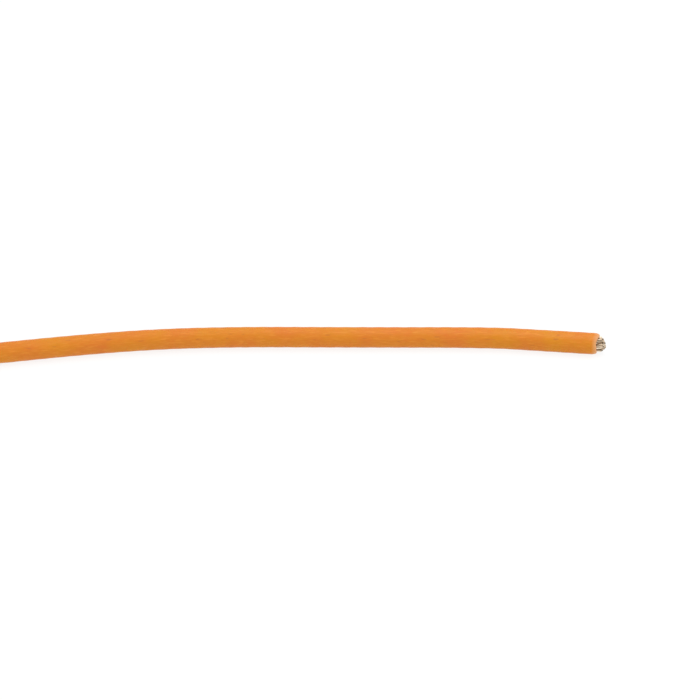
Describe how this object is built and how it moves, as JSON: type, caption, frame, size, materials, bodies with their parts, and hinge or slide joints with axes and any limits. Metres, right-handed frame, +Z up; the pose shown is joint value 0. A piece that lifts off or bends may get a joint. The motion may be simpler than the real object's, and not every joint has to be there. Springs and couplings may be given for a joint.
{
  "type": "coated wire rope",
  "caption": "Plastic-coated steel wire rope with bare, square-cut ends, its spare length folded and tied in a hank, for stays, tethers and pull cables.",
  "frame": {"origin": "middle of the coat's rim at the cut end that lies apart from the hank", "axes": "+X out of the cut end along the rope, +Z up from the floor the rope lies on"},
  "size_m": [0.2677, 0.04, 0.0235],
  "materials": {
    "orange_coat": "satin extruded PVC, orange",
    "steel_wire": "drawn steel wire, cut ends bright",
    "tie_nylon": "natural nylon"
  },
  "bodies": {
    "root": {"back_tie": "tie_nylon", "core_strand_king_wire": "steel_wire", "core_strand_wire_1": "steel_wire", "core_strand_wire_2": "steel_wire", "core_strand_wire_3": "steel_wire", "core_strand_wire_4": "steel_wire", "core_strand_wire_5": "steel_wire", "core_strand_wire_6": "steel_wire", "front_tie": "tie_nylon", "hank": "orange_coat", "jacket": "orange_coat", "outer_strand_1_king_wire": "steel_wire", "outer_strand_1_wire_1": "steel_wire", "outer_strand_1_wire_2": "steel_wire", "outer_strand_1_wire_3": "steel_wire", "outer_strand_1_wire_4": "steel_wire", "outer_strand_1_wire_5": "steel_wire", "outer_strand_1_wire_6": "steel_wire", "outer_strand_2_king_wire": "steel_wire", "outer_strand_2_wire_1": "steel_wire", "outer_strand_2_wire_2": "steel_wire", "outer_strand_2_wire_3": "steel_wire", "outer_strand_2_wire_4": "steel_wire", "outer_strand_2_wire_5": "steel_wire", "outer_strand_2_wire_6": "steel_wire", "outer_strand_3_king_wire": "steel_wire", "outer_strand_3_wire_1": "steel_wire", "outer_strand_3_wire_2": "steel_wire", "outer_strand_3_wire_3": "steel_wire", "outer_strand_3_wire_4": "steel_wire", "outer_strand_3_wire_5": "steel_wire", "outer_strand_3_wire_6": "steel_wire", "outer_strand_4_king_wire": "steel_wire", "outer_strand_4_wire_1": "steel_wire", "outer_strand_4_wire_2": "steel_wire", "outer_strand_4_wire_3": "steel_wire", "outer_strand_4_wire_4": "steel_wire", "outer_strand_4_wire_5": "steel_wire", "outer_strand_4_wire_6": "steel_wire", "outer_strand_5_king_wire": "steel_wire", "outer_strand_5_wire_1": "steel_wire", "outer_strand_5_wire_2": "steel_wire", "outer_strand_5_wire_3": "steel_wire", "outer_strand_5_wire_4": "steel_wire", "outer_strand_5_wire_5": "steel_wire", "outer_strand_5_wire_6": "steel_wire", "outer_strand_6_king_wire": "steel_wire", "outer_strand_6_wire_1": "steel_wire", "outer_strand_6_wire_2": "steel_wire", "outer_strand_6_wire_3": "steel_wire", "outer_strand_6_wire_4": "steel_wire", "outer_strand_6_wire_5": "steel_wire", "outer_strand_6_wire_6": "steel_wire", "steel_core": "steel_wire", "tail_core": "steel_wire", "tail_jacket": "orange_coat"}
  },
  "joints": []
}
